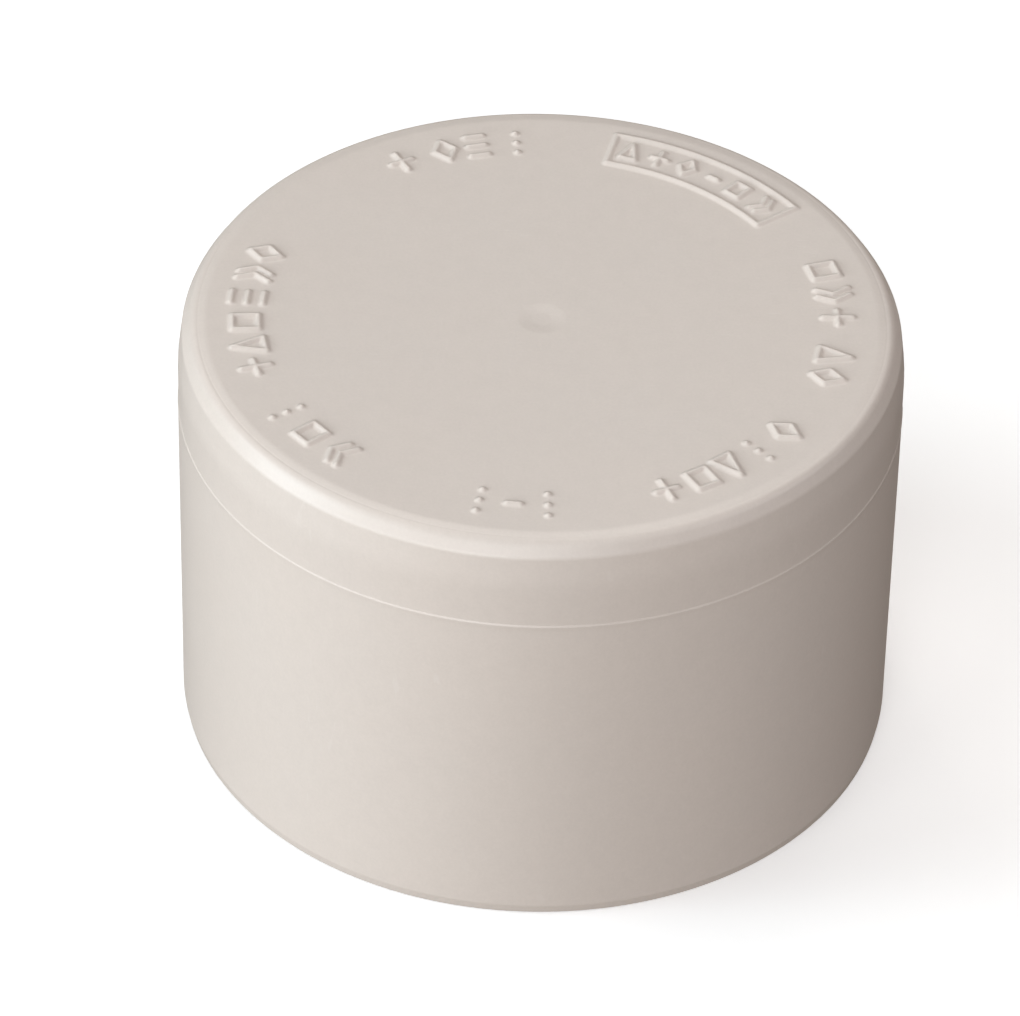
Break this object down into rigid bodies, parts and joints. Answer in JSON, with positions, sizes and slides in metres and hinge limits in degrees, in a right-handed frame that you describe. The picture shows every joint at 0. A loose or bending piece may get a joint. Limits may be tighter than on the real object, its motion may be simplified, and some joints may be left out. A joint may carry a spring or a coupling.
{
  "type": "pipe cap",
  "caption": "Slip-on end cap for plastic pipe: a short round cup with a flat closed end, a soft bevel around it, a fine parting line and raised marks.",
  "frame": {"origin": "centre of the open mouth, on the plane of its rim", "axes": "+Z along the axis of the cap, from the mouth to the closed end; +X and +Y lie in the rim's plane, and the arc-shaped frame among the raised marks lies between them"},
  "size_m": [0.0572, 0.0572, 0.0373],
  "materials": {
    "pvc": "satin moulded rigid PVC, warm light grey"
  },
  "bodies": {
    "root": {"cap": "pvc"}
  },
  "joints": []
}
